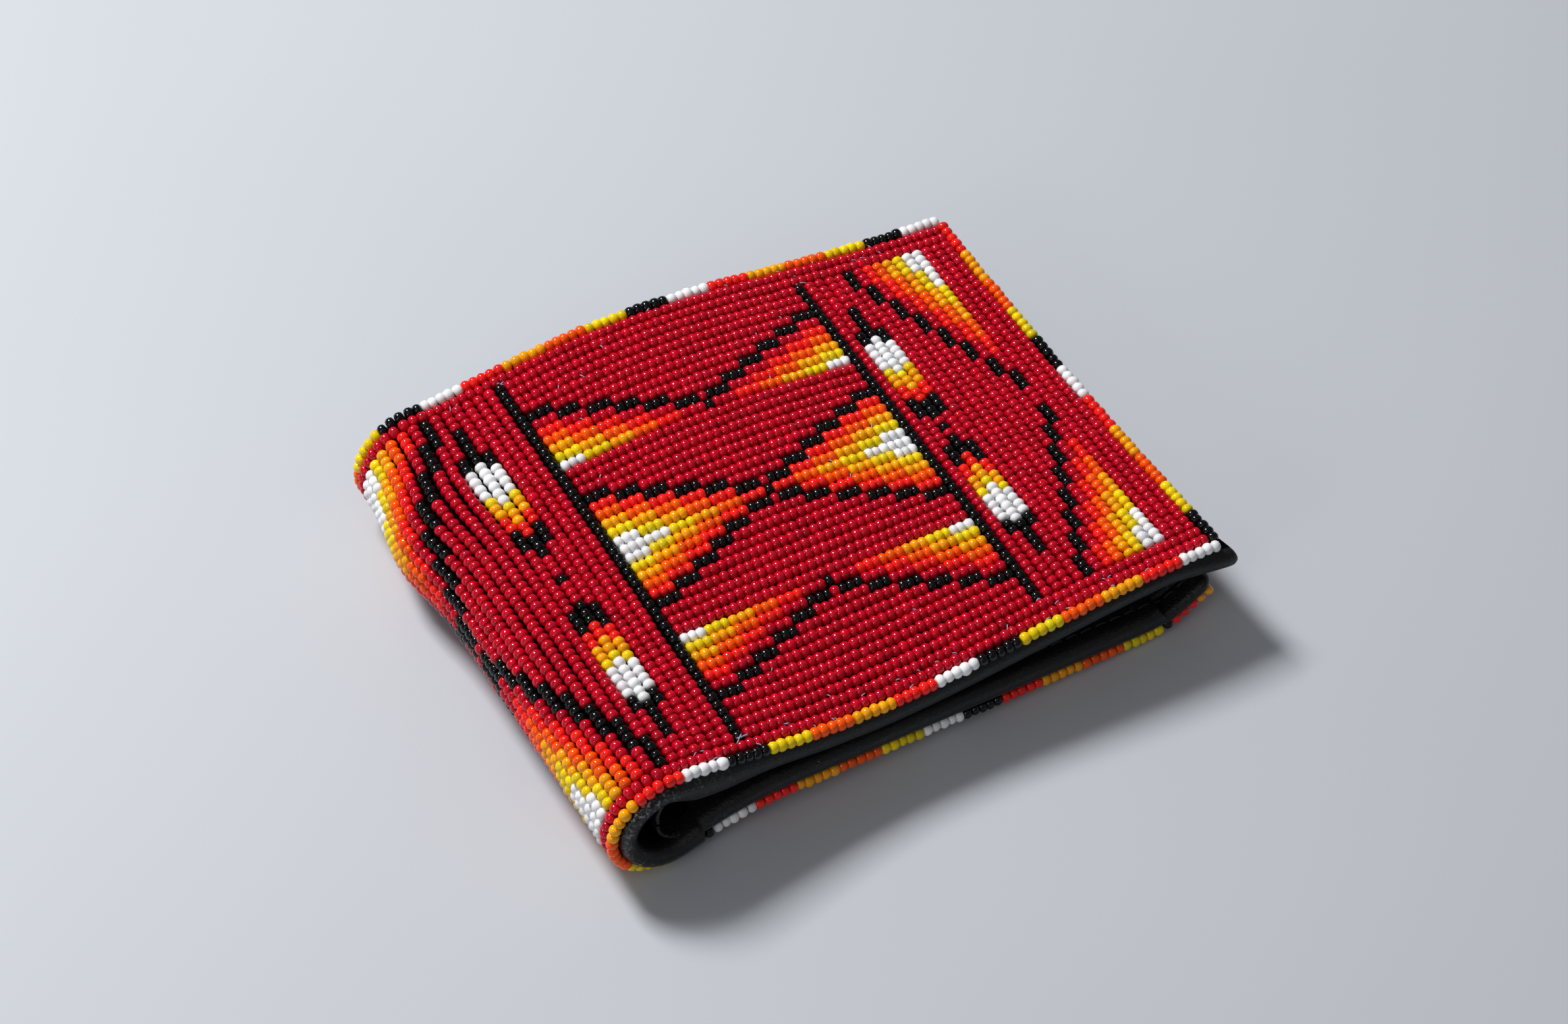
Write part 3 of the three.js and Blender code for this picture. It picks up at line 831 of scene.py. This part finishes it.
def thread_yarn(name, colour):
    made, wire, into = new_material(name, 0.6)
    place = wire.node("ShaderNodeTexCoord", out="Object")
    fibre = wire.node("ShaderNodeTexNoise", Vector=place, Scale=6000.0, Detail=3.0)
    dark = tuple(c * 0.55 for c in colour[:3]) + (1,)
    wire.plug(into["Base Color"], fibre.mix(dark, colour))
    wire.plug(into["Roughness"], 0.45 + fibre * 0.3)
    wire.plug(into["Normal"], fibre.bump(0.5, 0.0001))
    return made


def stitch_mesh():
    """One stitch of unit length along Z and unit thickness, arched outward along Y, its ends sunk."""
    bm = ringed_tube(6, 0.5, 5)
    for v in bm.verts:
        v.co.y += 0.9 * (1 - (2 * v.co.z) ** 2)
    mesh = bpy.data.meshes.new("stitch")
    bm.to_mesh(mesh)
    bm.free()
    return mesh


stitch = stitch_mesh()


def sew(name, stitches, yarn):
    """One piece of stitches: each is (s, y, h, angle to the cover's length, length, thickness).

    A stitch arches outward where its height h is above 0, and inward below.
    """
    bm = bmesh.new()
    for s, y, h, angle, length, thick in stitches:
        point, along, across, out = bead_seat(s, y, h)
        lean = math.radians(angle)
        axis = (along * math.cos(lean) + across * math.sin(lean)).normalized()
        out = out if h > 0 else -out
        beside = out.cross(axis).normalized()
        ways = beside * thick / 1000, axis.cross(beside) * thick / 1000, axis * length / 1000
        set_down(bm, stitch, ways, point)
    piece = add_piece(name, bm, [yarn])
    return piece


pale_yarn = thread_yarn("pale thread", srgb(190, 176, 204))
black_yarn = thread_yarn("black thread", srgb(30, 29, 31))
for body, side in HALVES:
    couching = []
    for middle, tip, longest, high in BAR_ENDS:
        for strand in range(END_STRANDS):
            s, y = middle + chance.normal(0.4, 0.5), tip + chance.normal(0, 0.2)
            lean = chance.normal(math.copysign(20, -tip), 20)
            couching.append((side * s, y, high, lean, longest * chance.uniform(0.55, 1), THREAD))
    for bit in range(ROW_BITS):
        s = CENTRE_START + chance.integers(1, ROW_BEADS) * BEAD_PITCH
        y = (chance.integers(-ROW_REACH, ROW_REACH) + 0.5) * ROW_PITCH
        lean, length = chance.uniform(40, 140), chance.uniform(0.7, 1.2)
        couching.append((side * s, y, ROW_BIT_HIGH, lean, length, THREAD))
    for bit in range(BORDER_BITS):
        s, end = chance.uniform(BORDER_BITS_FROM, BORDER_BITS_TO), chance.choice((-1, 1))
        y = end * (BORDER_Y + chance.choice((-1, 1)))
        lean, length = chance.normal(0, 35), chance.uniform(0.7, 1.3)
        couching.append((side * s, y, BORDER_BIT_HIGH, lean, length, THREAD))
    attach(sew(f"{body}_couching", couching, pale_yarn), body)
    seam = []
    for s in np.arange(*NEAR_SEAM_RUN, SEAM_PITCH):
        seam.append((side * s, NEAR_SEAM_Y, -hem_at(side * s), 0, SEAM_STITCH, SEAM_THREAD))
    for y in np.arange(*FREE_SEAM_RUN, SEAM_PITCH):
        seam.append((side * FREE_SEAM_S, y, -hem_at(side * COVER_END), 90, SEAM_STITCH, SEAM_THREAD))
    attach(sew(f"{body}_pocket_seam", seam, black_yarn), body)

# Table, light and camera: a plain pale table that stays pale past the lamps' reach, one lamp high
# behind the wallet, a wide soft one above, a weak one at the left, an even sky, and a long lens
# at the photograph's angle.
TABLE_REACH, PALE_FROM, PALE_TO = 12.0, 0.3, 1.2
SEEING_RAYS = ("Is Camera Ray", "Is Glossy Ray", "Is Transmission Ray")
under_wallet = Matrix.Translation((0, 0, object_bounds()[0][2]))
bm = bmesh.new()
bmesh.ops.create_grid(bm, x_segments=2, y_segments=2, size=TABLE_REACH, matrix=under_wallet)
table_paint, wire, into = new_material("table paint", 0.6)
place = wire.node("ShaderNodeTexCoord", out="Object")
mottle = wire.node("ShaderNodeTexNoise", Vector=place, Scale=6.0, Detail=2.0)
wire.plug(into["Base Color"], mottle.mix(srgb(186, 190, 197), srgb(194, 198, 204)))
distance = wire.node("ShaderNodeVectorMath", {"operation": "LENGTH"}, out="Value", i0=place)
beyond = distance.ramp(PALE_FROM, PALE_TO, "SMOOTHSTEP")
straight, mirrored, through = (wire.node("ShaderNodeLightPath", out=ray) for ray in SEEING_RAYS)
seen = straight + mirrored + through
wire.plug(into["Emission Color"], (beyond * seen).mix((0, 0, 0, 1), srgb(176, 180, 187)))
into["Emission Strength"].default_value = 1.0
table = add_piece("table", bm, [table_paint])


def lamp(name, place, aim, size, power):
    data = bpy.data.lights.new(name, "AREA")
    data.size, data.energy = size, power
    made = bpy.data.objects.new(name, data)
    bpy.context.scene.collection.objects.link(made)
    made.location = place
    made.rotation_mode = "QUATERNION"
    made.rotation_quaternion = (Vector(aim) - Vector(place)).to_track_quat("-Z", "Y")


lamp("key_lamp", (-0.25, 0.62, 0.85), (0, 0, 0), 0.28, 12.5)
lamp("wide_lamp", (-0.5, -0.3, 1.1), (0, 0, 0), 0.9, 0.9)
lamp("left_lamp", (-0.8, -0.35, 0.4), (0, 0, 0), 0.25, 1.0)
world = bpy.data.worlds.new("even sky")
bpy.context.scene.world = world
world.use_nodes = True
sky = world.node_tree.nodes["Background"].inputs
sky["Color"].default_value = (0.93, 0.96, 1, 1)
sky["Strength"].default_value = 0.16

VIEW_AZIMUTH, VIEW_HEIGHT, VIEW_ROLL = (math.radians(a) for a in (-32.109, 49.688, 2.247))
VIEW_DISTANCE, VIEW_RIGHT, VIEW_UP = 0.684436, 0.040579, 0.019188
FOCAL_PIXELS, PHOTO_WIDTH, SENSOR = 6359, 2380, 36.0
flat = math.cos(VIEW_HEIGHT)
back = Vector((math.sin(VIEW_AZIMUTH) * flat, -math.cos(VIEW_AZIMUTH) * flat, math.sin(VIEW_HEIGHT)))
level = Vector((math.cos(VIEW_AZIMUTH), math.sin(VIEW_AZIMUTH), 0))
right = level * math.cos(VIEW_ROLL) + back.cross(level) * math.sin(VIEW_ROLL)
up = back.cross(right)
lens = bpy.data.cameras.new("long_lens")
lens.sensor_width, lens.lens = SENSOR, FOCAL_PIXELS / PHOTO_WIDTH * SENSOR
lens.clip_start, lens.clip_end = 0.01, 20
camera = bpy.data.objects.new("camera", lens)
bpy.context.scene.collection.objects.link(camera)
stand = Matrix((right, up, back)).transposed().to_4x4()
stand.translation = LOOP_MIDDLE + back * VIEW_DISTANCE + right * VIEW_RIGHT + up * VIEW_UP
camera.matrix_world = stand
bpy.context.scene.camera = camera
bpy.context.scene.view_settings.view_transform = "Standard"
